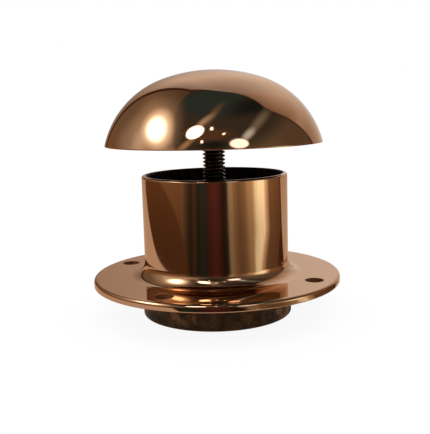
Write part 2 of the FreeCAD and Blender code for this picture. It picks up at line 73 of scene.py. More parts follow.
def softened(corners):
    """Each corner (radius, height, roundness) becomes an arc tangent to its two sides.

    The arc is the corner's circle swept from one tangent point to the other, and a point is added
    beyond each tangent point so that the shading of the flat sides stays flat.
    """
    points = []
    for number, (across, up, roundness) in enumerate(corners):
        here = np.array((across, up))
        if roundness == 0:
            points.append(here)
            continue
        back = np.array(corners[number - 1][:2]) - here
        on = np.array(corners[(number + 1) % len(corners)][:2]) - here
        room = 0.45 * min(np.linalg.norm(back), np.linalg.norm(on))
        back, on = back / np.linalg.norm(back), on / np.linalg.norm(on)
        half = math.acos(np.clip(back @ on, -1, 1)) / 2
        run = min(roundness / math.tan(half), room)
        middle = here + (back + on) / np.linalg.norm(back + on) * run / math.cos(half)
        turn = math.pi - 2 * half
        share = np.linspace(0, 1, CORNER_STEPS + 1)[:, None]
        first, last = here + back * run - middle, here + on * run - middle
        arc = (np.sin((1 - share) * turn) * first + np.sin(share * turn) * last) / math.sin(turn)
        lead = min(0.3 * run, 0.1 * room)
        points.extend((here + back * (run + lead), *(middle + arc), here + on * (run + lead)))
    return np.array(points)


def around(radius, angle, up):
    """Points at a radius and an angle about the spindle's axis, at a height."""
    return np.stack(np.broadcast_arrays(radius * np.cos(angle), radius * np.sin(angle), up), axis=-1)


def lathe(profile, columns=COLUMNS, turn=0.0):
    """A profile of (radius, height) turned about the spindle's axis, one row per point."""
    angle = turn + np.arange(columns) * 2 * math.pi / columns
    return around(profile[:, :1], angle, profile[:, 1:2])


def at_height(outline, up):
    """A flat outline's points, all at one height."""
    return np.column_stack((outline, np.full(len(outline), up)))


def square_cut(inner, outer, low, high, roundness):
    """A ring's four-sided section, with the same round on each edge."""
    corners = [(inner, low), (outer, low), (outer, high), (inner, high)]
    return softened([(*corner, roundness) for corner in corners])


# ------------ meshes


def patch(points, loop=True, look=0, keep=None, wrap=True):
    """A grid's points and the four-sided faces between its rows and columns, with their look.

    Rows close on themselves when loop is set, columns when wrap is. keep leaves out faces marked
    False.
    """
    rows, columns = points.shape[:2]
    here = np.arange(rows * columns).reshape(rows, columns)
    above = np.roll(here, -1, axis=0)
    faces = np.stack((here, np.roll(here, -1, axis=1), np.roll(above, -1, axis=1), above), axis=-1)
    looks = np.broadcast_to(np.reshape(look, (-1, 1)), (rows, columns))
    kept = np.ones((rows, columns), bool) if keep is None else keep.copy()
    if not loop:
        kept[-1] = False
    if not wrap:
        kept[:, -1] = False
    return points.reshape(-1, 3), faces[kept], looks[kept]


def joined(name, patches):
    """A mesh of patches, joined where they meet."""
    starts = np.cumsum([0] + [len(points) for points, _, _ in patches])
    points = np.concatenate([points for points, _, _ in patches]) * MM
    faces = np.concatenate([faces + start for (_, faces, _), start in zip(patches, starts)])
    looks = np.concatenate([looks for _, _, looks in patches])
    mesh = bpy.data.meshes.new(name)
    mesh.vertices.add(len(points))
    mesh.vertices.foreach_set("co", points.ravel())
    mesh.loops.add(faces.size)
    mesh.loops.foreach_set("vertex_index", faces.ravel())
    mesh.polygons.add(len(faces))
    mesh.polygons.foreach_set("loop_start", np.arange(0, faces.size, 4))
    mesh.polygons.foreach_set("material_index", looks)
    mesh.update(calc_edges=True)
    work = bmesh.new()
    work.from_mesh(mesh)
    bmesh.ops.remove_doubles(work, verts=work.verts, dist=1e-6)
    bmesh.ops.dissolve_degenerate(work, edges=work.edges, dist=1e-7)
    work.to_mesh(mesh)
    work.free()
    return mesh


def linked(name, data):
    """A new object in the scene."""
    thing = bpy.data.objects.new(name, data)
    bpy.context.scene.collection.objects.link(thing)
    return thing


def cut_away(thing, tool_mesh):
    """Takes one closed mesh away from an object's own."""
    tool = linked(tool_mesh.name, tool_mesh)
    cutting = thing.modifiers.new("cut", "BOOLEAN")
    cutting.operation, cutting.solver, cutting.object = "DIFFERENCE", "EXACT", tool
    now = thing.evaluated_get(bpy.context.evaluated_depsgraph_get())
    whole, thing.data = thing.data, bpy.data.meshes.new_from_object(now)
    thing.data.materials.clear()
    thing.modifiers.remove(cutting)
    bpy.data.objects.remove(tool)
    bpy.data.meshes.remove(whole)
    bpy.data.meshes.remove(tool_mesh)


def piece(name, body, slot, materials, patches, *nodes, cut=None):
    """An object made of patches, less the cut ones, that rides on a body and stands for nodes."""
    thing = linked(name, joined(name, patches))
    if cut is not None:
        cut_away(thing, joined(name + "_cut", cut))
    mesh = thing.data
    mesh.polygons.foreach_set("use_smooth", [True] * len(mesh.polygons))
    mesh.set_sharp_from_angle(angle=SHARP)
    for material in materials:
        mesh.materials.append(material)
    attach(thing, body)
    if nodes:
        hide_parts(*nodes)


# ------------ node helpers


class Maker:
    """Short calls for one node tree: each makes a node and gives back its output."""

    def __init__(self, tree):
        self.tree = tree
        self.tree.nodes.clear()

    def node(self, kind, settings=(), **inputs):
        made = self.tree.nodes.new("ShaderNode" + kind)
        for name, value in dict(settings).items():
            setattr(made, name, value)
        for name, value in inputs.items():
            self.feed(made.inputs[name.replace("_", " ")], value)
        return made

    def feed(self, socket, value):
        if isinstance(value, bpy.types.NodeSocket):
            self.tree.links.new(value, socket)
        else:
            socket.default_value = value

    def maths(self, operation, first, second=0.0, third=0.0):
        made = self.tree.nodes.new("ShaderNodeMath")
        made.operation = operation
        for socket, value in zip(made.inputs, (first, second, third)):
            self.feed(socket, value)
        return made.outputs[0]

    def times(self, first, second):
        return self.maths("MULTIPLY", first, second)

    def plus(self, first, second):
        return self.maths("ADD", first, second)

    def minus(self, first, second):
        return self.maths("SUBTRACT", first, second)

    def length(self, x, y):
        return self.maths("SQRT", self.plus(self.times(x, x), self.times(y, y)))

    def vector_maths(self, operation, first, second=(0.0, 0.0, 0.0)):
        made = self.node("VectorMath", {"operation": operation}, Vector=first)
        made.inputs[1].default_value = second
        return made.outputs

    def scaled(self, vector, scale):
        return self.node("VectorMath", {"operation": "SCALE"}, Vector=vector, Scale=scale).outputs[0]

    def vector(self, x, y, z):
        return self.node("CombineXYZ", X=x, Y=y, Z=z).outputs[0]

    def parts(self, vector):
        return self.node("SeparateXYZ", Vector=vector).outputs

    def place(self):
        return self.node("TexCoord").outputs["Object"]

    def noise(self, vector, scale, detail=3.0, roughness=0.5):
        made = self.node("TexNoise", Vector=vector, Scale=scale, Detail=detail)
        made.inputs["Roughness"].default_value = roughness
        return made.outputs["Fac"]

    def cell_edges(self, vector, scale):
        feature = {"feature": "DISTANCE_TO_EDGE"}
        return self.node("TexVoronoi", feature, Vector=vector, Scale=scale).outputs["Distance"]

    def spread(self, value, low, high, to_low=0.0, to_high=1.0, smooth=True):
        kind = "SMOOTHSTEP" if smooth else "LINEAR"
        made = self.node("MapRange", {"interpolation_type": kind}, Value=value)
        for socket, number in zip(made.inputs[1:5], (low, high, to_low, to_high)):
            socket.default_value = number
        return made.outputs[0]

    def mix(self, share, first, second):
        made = self.tree.nodes.new("ShaderNodeMix")
        made.data_type = "RGBA"
        self.feed(made.inputs["Factor"], share)
        for socket, value in zip((made.inputs[6], made.inputs[7]), (first, second)):
            self.feed(socket, (*value, 1.0) if isinstance(value, tuple) else value)
        return made.outputs[2]

    def bump(self, height, distance, normal=None):
        made = self.node("Bump", Height=height, Distance=distance)
        if normal is not None:
            self.feed(made.inputs["Normal"], normal)
        return made.outputs[0]


def blank_material(name):
    """A new material, and the maker of its nodes."""
    material = bpy.data.materials.new(name)
    material.use_nodes = True
    return material, Maker(material.node_tree)


def finish_material(name, build, **fixed):
    """A Principled material: build() gives what varies, fixed sets what is the same all over."""
    material, make = blank_material(name)
    shader = make.node("BsdfPrincipled")
    for socket, value in zip(("Base Color", "Roughness", "Normal"), build(make)):
        make.feed(shader.inputs[socket], value)
    for socket, value in fixed.items():
        shader.inputs[socket.replace("_", " ")].default_value = value
    make.node("OutputMaterial", Surface=shader.outputs[0])
    return material


def radius_and_height(make):
    """A surface's distance from the spindle's axis, and its height."""
    x, y, up = make.parts(make.place())
    return make.length(x, y), up


def tool_lines(make, fineness, breaks, scale, detail):
    """Lines that run round the axis: noise on (radius, angle in turns, height), close but for angle."""
    x, y, up = make.parts(make.place())
    turns = make.maths("DIVIDE", make.maths("ARCTAN2", y, x), 2 * math.pi)
    radius, turns = make.times(make.length(x, y), fineness), make.times(turns, breaks)
    return make.noise(make.vector(radius, turns, make.times(up, fineness)), scale, detail)


# ------------ materials


def polished_bronze():
    """Mirror-polished bronze: buffing lines round the axis, faint smears and a wavy hand-buffed face."""

    def build(make):
        place = make.place()
        radius, up = radius_and_height(make)
        lines = tool_lines(make, 900.0, 3.0, 2.0, 4.0)
        smears = make.noise(place, 38.0, 4.0, 0.6)
        clouds = make.noise(place, 22.0, 3.0, 0.55)
        colour = make.mix(clouds, (0.64, 0.365, 0.215), (0.69, 0.405, 0.25))
        rough = make.plus(make.spread(smears, 0.45, 0.8, 0.03, 0.085), make.times(lines, 0.02))
        fillet = make.spread(radius, 0.047, 0.053, 1.0, 0.0)
        hollow = make.times(fillet, make.spread(up, 0.007, 0.014, 0.06, 0.012))
        below_cap = make.spread(up, 0.065, 0.075, 1.0, 0.0)
        rough = make.plus(rough, make.times(hollow, below_cap))
        waves = make.noise(place, 17.0, 1.0, 0.3)
        low_down = make.spread(up, 0.0, 0.07, 1.0, 0.0)
        ripples = make.times(make.noise(place, 52.0, 1.0, 0.3), low_down)
        normal = make.bump(waves, 0.00011)
        normal = make.bump(ripples, 0.00005, normal)
        return colour, rough, make.bump(lines, 0.0000006, normal)

    return finish_material("polished_bronze", build, Metallic=1.0, Specular_Tint=(0.94, 0.78, 0.63, 1.0))


def raw_casting():
    """Bronze as cast: brown oxide in blotches, a sandy skin and a few shallow lumps and pits, with painted
    shade darkening the bore's wall inside the collar.
    """

    def build(make):
        place = make.place()
        blotches = make.noise(place, 130.0, 5.0, 0.7)
        stains = make.noise(place, 48.0, 4.0, 0.55)
        grain = make.noise(place, 1500.0, 3.0, 0.6)
        lumps = make.noise(place, 170.0, 3.0, 0.5)
        pits = make.spread(make.cell_edges(place, 330.0), 0.0, 0.12)
        colour = make.mix(
            make.spread(blotches, 0.38, 0.68),
            (0.03, 0.018, 0.0095),
            make.mix(make.spread(stains, 0.46, 0.60), (0.085, 0.043, 0.02), (0.30, 0.14, 0.062)),
        )
        radius, up = radius_and_height(make)
        # Painted shade: surfaces 37 to 40 mm from the axis are darkened to near black, fully above 20 mm and
        # fading out below 5 mm, for the shade in the collar's bore under the cap.
        wall = make.times(make.spread(radius, 0.037, 0.0375), make.spread(radius, 0.0394, 0.04, 1.0, 0.0))
        bore = make.times(wall, make.spread(up, 0.005, 0.02, 0.0, 0.85))
        colour = make.mix(bore, colour, (0.008, 0.005, 0.004))
        rough = make.spread(grain, 0.3, 0.7, 0.42, 0.68)
        normal = make.bump(lumps, 0.0006)
        normal = make.bump(pits, 0.00005, normal)
        return colour, rough, make.bump(grain, 0.00012, normal)

    return finish_material("raw_casting", build, Metallic=0.7, Specular_IOR_Level=0.15)


def drilled_bronze():
    """The deck holes' walls: a dark red-brown, partly tarnish and partly painted shade of the deep holes,
    with the drill's faint rings down the bore.
    """

    def build(make):
        place = make.place()
        rings = make.noise(make.vector(0.0, 0.0, make.parts(place)["Z"]), 4000.0, 2.0)
        stains = make.noise(place, 260.0, 3.0, 0.6)
        # Painted shade in part: both browns are kept dark so that the holes' walls look shaded.
        colour = make.mix(stains, (0.088, 0.026, 0.009), (0.12, 0.039, 0.014))
        return colour, make.spread(stains, 0.3, 0.7, 0.5, 0.6), make.bump(rings, 0.00001)

    return finish_material("drilled_bronze", build, Metallic=0.4, Specular_IOR_Level=0.1)


def threaded_bronze(crest):
    """The spindle's metal: nearly black with old grease in the roots, worn bright on the crests."""

    def build(make):
        place = make.place()
        radius = radius_and_height(make)[0]
        worn = make.spread(radius, (crest - 0.45) * MM, (crest - 0.02) * MM)
        patches = make.spread(make.noise(place, 240.0, 4.0, 0.6), 0.35, 0.65, 0.25, 1.0)
        grease = make.noise(place, 420.0, 3.0, 0.6)
        dark = make.mix(grease, (0.006, 0.005, 0.004), (0.02, 0.013, 0.01))
        colour = make.mix(make.times(worn, patches), dark, (0.26, 0.16, 0.09))
        return colour, make.spread(grease, 0.3, 0.7, 0.22, 0.42), make.bump(grease, 0.00004)

    return finish_material("threaded_bronze", build, Metallic=0.9)


def turned_metal(name, dark, light, gloss):
    """A lathe-turned metal: fine tool lines by radius and height, tarnish in soft patches."""

    def build(make):
        lines = tool_lines(make, 1400.0, 2.0, 1.0, 3.0)
        tarnish = make.noise(make.place(), 130.0, 4.0, 0.6)
        colour = make.mix(make.spread(tarnish, 0.35, 0.7), light, dark)
        rough = make.plus(make.spread(tarnish, 0.35, 0.75, gloss, gloss + 0.16), make.times(lines, 0.08))
        return colour, rough, make.bump(lines, 0.00001)

    return finish_material(name, build, Metallic=1.0)


def moulded_rubber():
    """Black rubber with a dusty bloom and a fine moulded grain."""

    def build(make):
        place = make.place()
        bloom = make.noise(place, 90.0, 4.0, 0.6)
        grain = make.noise(place, 2600.0, 2.0, 0.5)
        colour = make.mix(make.spread(bloom, 0.4, 0.75), (0.016, 0.016, 0.017), (0.05, 0.05, 0.05))
        return colour, make.spread(bloom, 0.3, 0.7, 0.5, 0.72), make.bump(grain, 0.00003)

    return finish_material("moulded_rubber", build)


# ------------ casting

BORE_R, COLLAR_R, SPIGOT_R = 38.0, 41.0, 42.5
HOLE_CIRCLE, HOLE_R, MOUTH_R, SINK = 59.0, 2.7, 5.1, 2.4
HOLE_TURN = math.radians(-27.2)
HOLES = 4
CELL_IN, CELL_OUT, CELL_COLUMNS = 52.0, 66.0, 8
CELL_RADII = np.linspace(CELL_IN, CELL_OUT, 2 * CELL_COLUMNS + 1)
FLANGE_THICK, FILLET_R = 4.2, 8.0
LUG_IN, LUG_OUT, LUG_TOP = 29.0, 39.4, 18.0
ARM_HALF, ARM_HIGH = 7.0, 6.0


def hole_patch(number):
    """A deck hole's funnel and the flat metal round it, above and below.

    The rows start on the edge of a cell cut out of the flange, close in on the hole's mouth in
    straight lines, go down the cone and the bore, and spread out to the cell's edge again below.
    """
    turn = HOLE_TURN + number * 2 * math.pi / HOLES
    across = np.arange(-CELL_COLUMNS, CELL_COLUMNS + 1) * (2 * math.pi / COLUMNS)
    same = np.ones(2 * CELL_COLUMNS)
    radius = np.concatenate((CELL_RADII[:-1], same * CELL_OUT, CELL_RADII[:0:-1], same * CELL_IN))
    angle = turn + np.concatenate((same * across[0], across[:-1], same * across[-1], across[:0:-1]))
    edge = np.stack((radius * np.cos(angle), radius * np.sin(angle)), axis=-1)
    middle = HOLE_CIRCLE * np.array((math.cos(turn), math.sin(turn)))
    ray = (edge - middle) / np.linalg.norm(edge - middle, axis=-1, keepdims=True)
    funnel = softened(
        [
            (MOUTH_R + 1.0, FLANGE_THICK, 0.0),
            (MOUTH_R, FLANGE_THICK, 0.22),
            (HOLE_R, FLANGE_THICK - SINK, 0.15),
            (HOLE_R, 0.0, 0.2),
            (HOLE_R + 1.0, 0.0, 0.0),
        ]
    )
    rows = [
        at_height(edge, FLANGE_THICK),
        *(at_height(middle + ray * reach, up) for reach, up in funnel),
        at_height(edge, 0.0),
    ]
    look = np.full(len(rows), 2)
    look[: CORNER_STEPS // 2 + 2] = 0
    look[-3:] = 1
    return patch(np.array(rows), look=look, loop=False)


def casting(polished, raw, drilled):
    """The spigot, flange and collar turned from one profile, with four deck holes let into it."""
    spigot_low, collar_top, flange_r = heights("vent_body")
    ring_high = heights("screen_snap_ring")[1]
    shelf = heights("screen_frame")[1]
    groove_r = BORE_R + 1.0
    corners = [
        (BORE_R, spigot_low, 0.7),
        (SPIGOT_R, spigot_low, 1.0),
        (SPIGOT_R, 0.0, 0.7),
        *((radius, 0.0, 0.0) for radius in CELL_RADII),
        (flange_r, 0.0, 0.5),
        (flange_r, FLANGE_THICK, 2.2),
        *((radius, FLANGE_THICK, 0.0) for radius in CELL_RADII[::-1]),
        *bow((COLLAR_R + FILLET_R, FLANGE_THICK + FILLET_R), FILLET_R, 270, 180, 4.0),
        (COLLAR_R, 30.0, 0.0),
        (COLLAR_R, 45.0, 0.0),
        (COLLAR_R, collar_top, 1.2),
        (BORE_R, collar_top, 1.2),
        (BORE_R, collar_top - 6.0, 0.0),
        (BORE_R, ring_high + 0.1, 0.15),
        (groove_r, ring_high + 0.1, 0.15),
        (groove_r, shelf, 0.15),
        (BORE_R, shelf, 0.15),
    ]
    profile = softened(corners)
    grid = lathe(profile, COLUMNS, HOLE_TURN)
    rows, up = profile.T
    inside = (rows <= CELL_OUT + 1e-6) & (rows >= CELL_IN - 1e-6)
    inside &= np.roll(inside, -1)
    column = (np.arange(COLUMNS) + CELL_COLUMNS) % (COLUMNS // HOLES)
    keep = ~(inside[:, None] & (column < 2 * CELL_COLUMNS)[None, :])
    outside = (rows > COLLAR_R - 0.5) & (up > 0.2)
    lip = (up > collar_top - 1.3) & (rows > BORE_R + 1.1)
    look = np.where(outside | lip, 0, 1)
    patches = [patch(grid, look=look, keep=keep)]
    patches += [hole_patch(number) for number in range(HOLES)]
    patches += [patch(lug, look=1, loop=False) for lug in lugs()]
    piece("vent_casting", CASTING, "casting_bronze", [polished, raw, drilled], patches, "vent_body")


def slab(outline, low, high, roundness):
    """A flat block: its outline, pulled in along its normals at both faces by the edge's round."""
    ahead = np.roll(outline, -1, axis=0) - np.roll(outline, 1, axis=0)
    out = np.stack((ahead[:, 1], -ahead[:, 0]), axis=-1)
    out /= np.linalg.norm(out, axis=-1, keepdims=True)
    middle = outline.mean(axis=0)
    deep = roundness + 1.0
    edge = softened([(deep, low, 0), (0.0, low, roundness), (0.0, high, roundness), (deep, high, 0)])
    rows = [
        at_height(middle + 0 * outline, low),
        *(at_height(outline - out * pull, up) for pull, up in edge),
        at_height(middle + 0 * outline, high),
    ]
    return np.array(rows)


def lugs():
    """Two cast lugs on the bore's wall, each a block with round front corners."""
    low = heights("bridge")[0] + ARM_HIGH
    corners = ((LUG_OUT, -1, 0.0), (LUG_OUT, 1, 0.0), (LUG_IN, 1, 3.0), (LUG_IN, -1, 3.0))
    shape = softened([(across, side * ARM_HALF, roundness) for across, side, roundness in corners])
    return [slab(shape * turn, low, LUG_TOP, 0.5) for turn in (1.0, -1.0)]


# ------------ cap

CAP_R, CAP_WALL = 60.7, 3.0
CROWN_R, SHOULDER_R = CAP_R * 1.4086, CAP_R * 0.8402
BOSS_R, BOSS_DEPTH, SPINDLE_HOLE, SPINDLE_HOLE_DEEP = 11.0, 13.7, 6.42, 11.5
SEAT_IN, CHANNEL_IN, CHANNEL_OUT, SEAT_OUT = 34.4, 36.8, 42.2, 44.6
GASKET_IN, GASKET_PROUD = 37.0, 2.0


def dome_middles():
    """The centres of the crown's and the shoulder's arcs.

    The crown's lies on the axis. The shoulder's is where a circle of both radii's difference about
    the crown's centre meets a circle of the shoulder's radius about the rim.
    """
    rim, top, _ = heights("cap")
    crown = top - CROWN_R
    apart = math.hypot(CAP_R, rim - crown)
    step = CROWN_R - SHOULDER_R
    along = (step**2 - SHOULDER_R**2 + apart**2) / (2 * apart)
    across = math.sqrt(step**2 - along**2)
    right, up = CAP_R / apart, (rim - crown) / apart
    shoulder = np.array((0, crown)) + along * np.array((right, up)) + across * np.array((-up, right))
    return (0.0, crown), tuple(shoulder)


def dome_up(middle, radius, across):
    """The height of an arc about a middle, at a distance across from the axis."""
    return middle[1] + math.sqrt(radius**2 - (across - middle[0]) ** 2)


def cap_profile():
    """The cap's whole section: blind hole, boss, ceiling, gasket seat, rim, shoulder and crown."""
    rim, top, _ = heights("cap")
    crown, shoulder = dome_middles()
    join = math.degrees(math.atan2(shoulder[1] - crown[1], shoulder[0]))
    crown_in, shoulder_in = CROWN_R - CAP_WALL, SHOULDER_R - CAP_WALL
    boss_low = top - CAP_WALL - BOSS_DEPTH
    boss_up = dome_up(crown, crown_in, BOSS_R)
    boss_at = math.degrees(math.acos(BOSS_R / crown_in))
    seat_low = heights("cap_gasket")[0] + GASKET_PROUD
    channel_up = dome_up(shoulder, shoulder_in, CHANNEL_OUT)
    ceiling_end, skirt_start = (
        math.degrees(math.acos((across - shoulder[0]) / shoulder_in)) for across in (SEAT_IN - 1.5, SEAT_OUT)
    )
    rim_at = math.degrees(math.asin((rim - shoulder[1]) / SHOULDER_R))
    rim_in = math.degrees(math.asin((rim - shoulder[1]) / shoulder_in))
    return softened(
        [
            (0.0, boss_low + SPINDLE_HOLE_DEEP, 0.0),
            (SPINDLE_HOLE, boss_low + SPINDLE_HOLE_DEEP, 0.2),
            (SPINDLE_HOLE, boss_low, 0.4),
            (BOSS_R, boss_low, 0.8),
            (BOSS_R, boss_up, 1.5),
            *bow(crown, crown_in, boss_at - 2.0, join),
            *bow(shoulder, shoulder_in, join, ceiling_end)[1:],
            (SEAT_IN, dome_up(shoulder, shoulder_in, SEAT_IN), 1.0),
            (SEAT_IN, seat_low, 0.5),
            (CHANNEL_IN, seat_low, 0.4),
            (CHANNEL_IN, channel_up, 0.3),
            (CHANNEL_OUT, channel_up, 0.3),
            (CHANNEL_OUT, seat_low, 0.3),
            (SEAT_OUT, seat_low, 0.3),
            *bow(shoulder, shoulder_in, skirt_start, rim_in + 1.3),
            (shoulder[0] + shoulder_in * math.cos(math.radians(rim_in)), rim, 0.6),
            (CAP_R, rim, 0.6),
            *bow(shoulder, SHOULDER_R, rim_at + 1.4, join, 0.8),
            *bow(crown, CROWN_R, join, 90, 0.6)[1:-1],
            (0.0, top, 0.0),
        ]
    )


def cap(polished, raw):
    """The dome: mirror-bright outside and over the rim, as cast within."""
    profile = cap_profile()
    rim_row = int(np.argmax(profile[:, 0] > CAP_R - CAP_WALL - 0.5))
    look = np.where(np.arange(len(profile)) >= rim_row, 0, 1)
    grid = patch(lathe(profile), loop=False, look=look)
    piece("cap_dome", TURNING, "cap_bronze", [polished, raw], [grid], "cap")


def gasket(rubber):
    """A square-cut ring with a small round on each corner."""
    ring("rim_gasket", CARRIER, "gasket_rubber", rubber, "cap_gasket", GASKET_IN, 0.35, COLUMNS)


# ------------ spindle

SPINDLE_R, STUB_R, PITCH = 6.35, 4.5, 2.1167
THREAD_START, THREAD_DEEP, THREAD_FLANK = -0.3, 1.3, 0.5206
ROOT_HALF = 0.18
MOUTH_HALF = ROOT_HALF + THREAD_FLANK * THREAD_DEEP
TAP_R, STUB_HOLE = SPINDLE_R + 0.15, STUB_R + 0.06


def thread_radius(up, turns):
    """The rod's radius at a height and an angle: full on the crest, sloping to a flat root.

    The groove's middle climbs one pitch a turn, from a pitch below the thread's start at angle 0.
    """
    start = THREAD_START - PITCH
    off = (up - start - PITCH * turns) / PITCH
    off = np.abs(off - np.round(off)) * PITCH
    depth = (MOUTH_HALF - off) / THREAD_FLANK
    return SPINDLE_R - np.clip(depth, 0.0, THREAD_DEEP)


def spindle(metal):
    """The threaded rod, in rows that follow the thread's own edges, and its plain stub below.

    A row climbs one pitch in a turn and so ends where the row a pitch above it begins. Rows that
    pass the rod's ends are held at them.
    """
    low, top, _ = heights("spindle")
    bevel, columns = 0.5, 72
    turns = np.linspace(0, 1, columns + 1)
    marks = np.array((-MOUTH_HALF - 0.1, -MOUTH_HALF, -MOUTH_HALF + 0.08, -ROOT_HALF - 0.06, -ROOT_HALF))
    marks = np.concatenate((marks, (0.0,), -marks[::-1])) + THREAD_START - PITCH
    whorls = np.arange(-1, math.ceil((top - THREAD_START) / PITCH) + 3)
    rows = (whorls[:, None] * PITCH + marks).ravel()
    up = np.clip(rows[:, None] + PITCH * turns, THREAD_START, top - bevel)
    angle = turns * 2 * math.pi
    rod = around(thread_radius(up, turns), angle, up)
    first, last = rod[0], rod[-1]
    share = (SPINDLE_R - bevel) / SPINDLE_R
    narrowed = last * (share, share, 0) + (0, 0, top)
    stub_top = around(STUB_R, angle, THREAD_START)
    stub = softened([(0.0, low, 0.0), (STUB_R, low, 0.8), (STUB_R, THREAD_START, 0.0)])
    patches = [
        patch(rod, loop=False, wrap=False),
        patch(np.stack((stub_top, first)), loop=False, wrap=False),
        patch(np.stack((last, narrowed, last * 0 + (0, 0, top))), loop=False, wrap=False),
        patch(lathe(stub, columns), loop=False),
    ]
    piece("threaded_spindle", TURNING, "spindle_bronze", [metal], patches, "spindle")


# ------------ rings, nuts and knob


def ring(name, body, slot, material, node, inner, roundness=0.25, columns=180):
    """A flat ring with softened edges, as high and wide as the node it stands for."""
    low, high, outer = heights(node)
    profile = square_cut(inner, outer, low, high, roundness)
    piece(name, body, slot, [material], [patch(lathe(profile, columns))], node)


def nut(name, node, material, bore, flats):
    """A hexagon nut: at each height the hexagon's radius, held inside a cone near both faces."""
    low, high, _ = heights(node)
    columns, chamfer = 144, math.tan(math.radians(30))
    angle = np.arange(columns) * 2 * math.pi / columns
    hexagon = flats / 2 / np.cos(angle % (math.pi / 3) - math.pi / 6)
    rise = np.array((0.0, 0.12, 0.25, 0.38, 0.5, 0.65, 0.8, 1.0))
    up = np.concatenate((low + rise, high - rise[::-1]))[:, None]
    limit = flats / 2 - 0.15 + np.concatenate((rise, rise[::-1]))[:, None] / chamfer
    side = around(np.minimum(hexagon, limit), angle, up)
    hole = lathe(np.array(((bore, high - 0.5), (bore, low + 0.5), (bore + 0.5, low))), columns)
    mouth = lathe(np.array(((bore + 0.5, high),)), columns)
    grid = np.concatenate((side, mouth, hole))
    piece(name, TURNING, "fastener_brass", [material], [patch(grid)], node)


KNOB_R, KNOB_SCALLOPS, SCALLOP_R, SCALLOP_DEEP, RIM_BLEND = 20.0, 8, 5.0, 2.6, 0.25
RECESS_R, RECESS = 8.6, 4.6


def scalloped_rim(angle):
    """The knob's outer radius at an angle: the near side of a scallop's circle, or the full round.

    The logarithm of a sum of exponentials takes the smaller of the two, softly where they cross.
    """
    away = KNOB_R - SCALLOP_DEEP + SCALLOP_R
    pitch = 2 * math.pi / KNOB_SCALLOPS
    off = (angle + pitch / 2) % pitch - pitch / 2
    inside = SCALLOP_R**2 - (away * np.sin(off)) ** 2
    bite = np.where(inside > 0, away * np.cos(off) - np.sqrt(np.maximum(inside, 0)), KNOB_R)
    return -np.log(np.exp(-bite / RIM_BLEND) + math.exp(-KNOB_R / RIM_BLEND)) * RIM_BLEND


def grub_drill():
    """The round rod that cuts the grub screw's hole, along X from the stub out past the rim."""
    start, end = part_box("knob_grub_screw")
    middle, radius = (start.z + end.z) / 2 / MM, (end.z - start.z) / 2 / MM + 0.02
    near, far = STUB_R - 0.3, KNOB_R + 5.0
    rod = lathe(np.array(((0.0, near), (radius, near), (radius, far), (0.0, far))), 48)
    return patch(rod[..., (2, 0, 1)] + (0, 0, middle), loop=False)


def knob(metal):
    """A turned knob, drawn in towards its recess wherever a scallop bites into its rim."""
    low, high, _ = heights("knob")
    profile = softened(
        [
            (RECESS_R, low, 0.5),
            (KNOB_R, low, 2.5),
            (KNOB_R, high, 2.5),
            (STUB_HOLE, high, 0.4),
            (STUB_HOLE, low + RECESS, 0.2),
            (RECESS_R, low + RECESS, 0.6),
        ]
    )
    columns = 384
    grid = lathe(profile, columns)
    rim = scalloped_rim(np.arange(columns) * 2 * math.pi / columns)
    radius = profile[:, :1]
    drawn = np.where(radius > RECESS_R + 1, (radius - RECESS_R) / (KNOB_R - RECESS_R), 0)
    share = 1 - drawn * (KNOB_R - rim) / radius
    grid[..., :2] *= share[..., None]
    piece("turning_knob", TURNING, "knob_bronze", [metal], [patch(grid)], "knob", cut=[grub_drill()])


# ------------ bridge and screen

ARM_END, HUB_R, NECK_R = 29.8, 12.0, 9.4
SCREW_AT, SCREW_R, SCREW_HEAD_R = 33.0, 2.5, 4.4
MESH_IN, MESH_PITCH, WIRE_R = 11.7, 1.9, 0.14
SPRING_IN, SPRING_HALF_GAP = 36.4, 5.0


def bridge(metal):
    """Two round-ended arms across the bore, ending inside the wall of the tapped hub between them."""
    low, high, _ = heights("bridge")
    inner = NECK_R + 0.1
    tip = bow((ARM_END, 0.0), ARM_HALF, -90, 90, 5.0)
    arm = np.array([*tip, (inner, ARM_HALF, 0.0), (inner, -ARM_HALF, 0.0)])[:, :2]
    shelf = heights("screen_frame")[0]
    hub = softened(
        [
            (TAP_R, low, 0.5),
            (HUB_R, low, 0.7),
            (HUB_R, shelf, 0.8),
            (NECK_R, shelf, 0.3),
            (NECK_R, high, 0.5),
            (TAP_R, high, 0.5),
        ]
    )
    patches = [patch(slab(arm * side, low, low + ARM_HIGH, 1.0), loop=False) for side in (1, -1)]
    patches.append(patch(lathe(hub, 180)))
    piece("spindle_bridge", CASTING, "bridge_bronze", [metal], patches, "bridge")


def slotted_head(middle, low, high):
    """A cheese head: cross-sections along X, doubled at the slot's walls where its floor steps.

    Each section runs along the head's low face, whose edge is a quarter round, and back on top.
    """
    slot, slot_deep, edge = 0.6, 1.5, 0.7
    outer = SCREW_HEAD_R * np.sin(np.radians(np.linspace(-90, 90, 41)))
    across = np.sort(np.concatenate((outer[np.abs(outer) > slot], (-slot, -slot, slot, slot))))
    cut = np.abs(across) < slot + 1e-9
    walls = np.flatnonzero(cut)
    cut[[walls[0], walls[-1]]] = False
    share = np.sin(np.radians(np.linspace(-90, 90, 25)))
    along = np.sqrt(np.maximum(SCREW_HEAD_R**2 - across**2, 0))[:, None] * share
    reach = np.hypot(across[:, None], along)
    past = np.clip(reach - (SCREW_HEAD_R - edge), 0, edge)
    face = low + edge - np.sqrt(edge**2 - past**2)
    face = np.where(cut[:, None], low + slot_deep, face)
    under = np.stack(np.broadcast_arrays(across[:, None], along, face), axis=-1)
    over = under[:, ::-1] * (1, 1, 0) + (0, 0, high)
    return np.concatenate((over, under), axis=1) + (middle, 0, 0)


